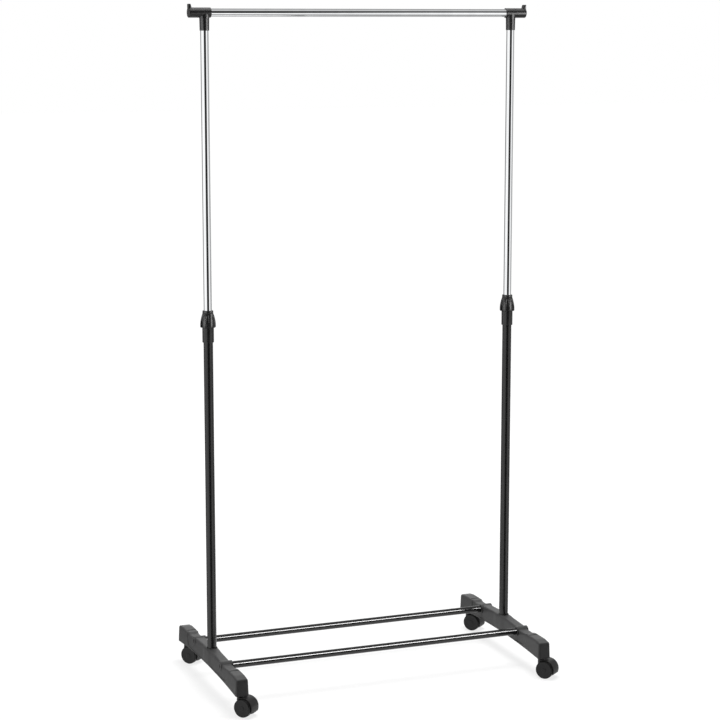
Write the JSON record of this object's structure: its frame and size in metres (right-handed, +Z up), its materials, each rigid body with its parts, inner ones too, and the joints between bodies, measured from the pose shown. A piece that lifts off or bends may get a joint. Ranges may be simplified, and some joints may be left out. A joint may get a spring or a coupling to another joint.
{
  "type": "rolling clothes rack",
  "caption": "Rolling clothes rack: moulded feet on twin-wheel casters, tied by cross rails, with telescopic uprights that carry a hanging rail of adjustable height.",
  "frame": {"origin": "on the floor, midway between the two uprights", "axes": "+X along the hanging rail to the right, +Y to the back, +Z up"},
  "size_m": [0.8375, 0.4849, 1.5945],
  "materials": {
    "foot_plastic": "fine-grained charcoal moulding",
    "black_tube": "satin black powder coat",
    "gloss_black_tube": "gloss black paint",
    "chrome_tube": "polished",
    "joint_plastic": "satin black moulding",
    "nylon": "plain nylon",
    "caster_plastic": "satin",
    "wheel_plastic": "satin",
    "black_screw": "black oxide",
    "zinc_steel": "zinc plated"
  },
  "bodies": {
    "base": {"foot_left": "foot_plastic", "foot_right": "foot_plastic", "cross_rail_front": "gloss_black_tube", "cross_rail_rear": "gloss_black_tube", "cross_rail_plugs": "nylon", "cross_rail_screws": "black_screw", "lower_upright_left": "black_tube", "lower_upright_right": "black_tube", "upright_insert_left": "nylon", "upright_insert_right": "nylon", "upright_washers": "zinc_steel", "upright_bolts": "zinc_steel", "lock_sleeve_left": "joint_plastic", "lock_sleeve_right": "joint_plastic", "lock_collet_left": "nylon", "lock_collet_right": "nylon", "stem_grip_rings": "zinc_steel", "front_left_stem": "zinc_steel", "rear_left_stem": "zinc_steel", "front_right_stem": "zinc_steel", "rear_right_stem": "zinc_steel"},
    "mast": {"upper_upright_left": "chrome_tube", "upper_upright_right": "chrome_tube", "guide_plug_left": "nylon", "guide_plug_right": "nylon", "tee_connector_left": "joint_plastic", "tee_connector_right": "joint_plastic", "hanging_rail": "chrome_tube"},
    "lock_knob_left": {"lock_knob_left": "joint_plastic"},
    "lock_knob_right": {"lock_knob_right": "joint_plastic"},
    "front_left_caster": {"front_left_body": "caster_plastic", "front_left_axle": "zinc_steel"},
    "front_left_wheel_front": {"front_left_wheel_front": "wheel_plastic"},
    "front_left_wheel_rear": {"front_left_wheel_rear": "wheel_plastic"},
    "rear_left_caster": {"rear_left_body": "caster_plastic", "rear_left_axle": "zinc_steel"},
    "rear_left_wheel_front": {"rear_left_wheel_front": "wheel_plastic"},
    "rear_left_wheel_rear": {"rear_left_wheel_rear": "wheel_plastic"},
    "front_right_caster": {"front_right_body": "caster_plastic", "front_right_axle": "zinc_steel"},
    "front_right_wheel_front": {"front_right_wheel_front": "wheel_plastic"},
    "front_right_wheel_rear": {"front_right_wheel_rear": "wheel_plastic"},
    "rear_right_caster": {"rear_right_body": "caster_plastic", "rear_right_axle": "zinc_steel"},
    "rear_right_wheel_front": {"rear_right_wheel_front": "wheel_plastic"},
    "rear_right_wheel_rear": {"rear_right_wheel_rear": "wheel_plastic"}
  },
  "joints": [
    {"name": "mast_height", "type": "slide", "parent": "base", "child": "mast", "axis": [0, 0, 1], "range_m": [-0.62, 0]},
    {"name": "lock_knob_left_turn", "type": "hinge", "parent": "base", "child": "lock_knob_left", "pos_m": [-0.38, 0, 0.88], "axis": [0, 0, 1], "range_deg": [0, 180]},
    {"name": "lock_knob_right_turn", "type": "hinge", "parent": "base", "child": "lock_knob_right", "pos_m": [0.38, 0, 0.88], "axis": [0, 0, 1], "range_deg": [0, 180]},
    {"name": "front_left_swivel", "type": "hinge", "parent": "base", "child": "front_left_caster", "pos_m": [-0.38, -0.211, 0.048], "axis": [0, 0, 1], "continuous": true},
    {"name": "front_left_wheel_front_spin", "type": "hinge", "parent": "front_left_caster", "child": "front_left_wheel_front", "pos_m": [-0.3693, -0.22421, 0.0215], "axis": [0.7771, 0.6293, 0], "continuous": true},
    {"name": "front_left_wheel_rear_spin", "type": "hinge", "parent": "front_left_caster", "child": "front_left_wheel_rear", "pos_m": [-0.3693, -0.22421, 0.0215], "axis": [0.7771, 0.6293, 0], "continuous": true},
    {"name": "rear_left_swivel", "type": "hinge", "parent": "base", "child": "rear_left_caster", "pos_m": [-0.38, 0.211, 0.048], "axis": [0, 0, 1], "continuous": true},
    {"name": "rear_left_wheel_front_spin", "type": "hinge", "parent": "rear_left_caster", "child": "rear_left_wheel_front", "pos_m": [-0.3693, 0.19779, 0.0215], "axis": [0.7771, 0.6293, 0], "continuous": true},
    {"name": "rear_left_wheel_rear_spin", "type": "hinge", "parent": "rear_left_caster", "child": "rear_left_wheel_rear", "pos_m": [-0.3693, 0.19779, 0.0215], "axis": [0.7771, 0.6293, 0], "continuous": true},
    {"name": "front_right_swivel", "type": "hinge", "parent": "base", "child": "front_right_caster", "pos_m": [0.38, -0.211, 0.048], "axis": [0, 0, 1], "continuous": true},
    {"name": "front_right_wheel_front_spin", "type": "hinge", "parent": "front_right_caster", "child": "front_right_wheel_front", "pos_m": [0.3907, -0.22421, 0.0215], "axis": [0.7771, 0.6293, 0], "continuous": true},
    {"name": "front_right_wheel_rear_spin", "type": "hinge", "parent": "front_right_caster", "child": "front_right_wheel_rear", "pos_m": [0.3907, -0.22421, 0.0215], "axis": [0.7771, 0.6293, 0], "continuous": true},
    {"name": "rear_right_swivel", "type": "hinge", "parent": "base", "child": "rear_right_caster", "pos_m": [0.38, 0.211, 0.048], "axis": [0, 0, 1], "continuous": true},
    {"name": "rear_right_wheel_front_spin", "type": "hinge", "parent": "rear_right_caster", "child": "rear_right_wheel_front", "pos_m": [0.3907, 0.19779, 0.0215], "axis": [0.7771, 0.6293, 0], "continuous": true},
    {"name": "rear_right_wheel_rear_spin", "type": "hinge", "parent": "rear_right_caster", "child": "rear_right_wheel_rear", "pos_m": [0.3907, 0.19779, 0.0215], "axis": [0.7771, 0.6293, 0], "continuous": true}
  ]
}
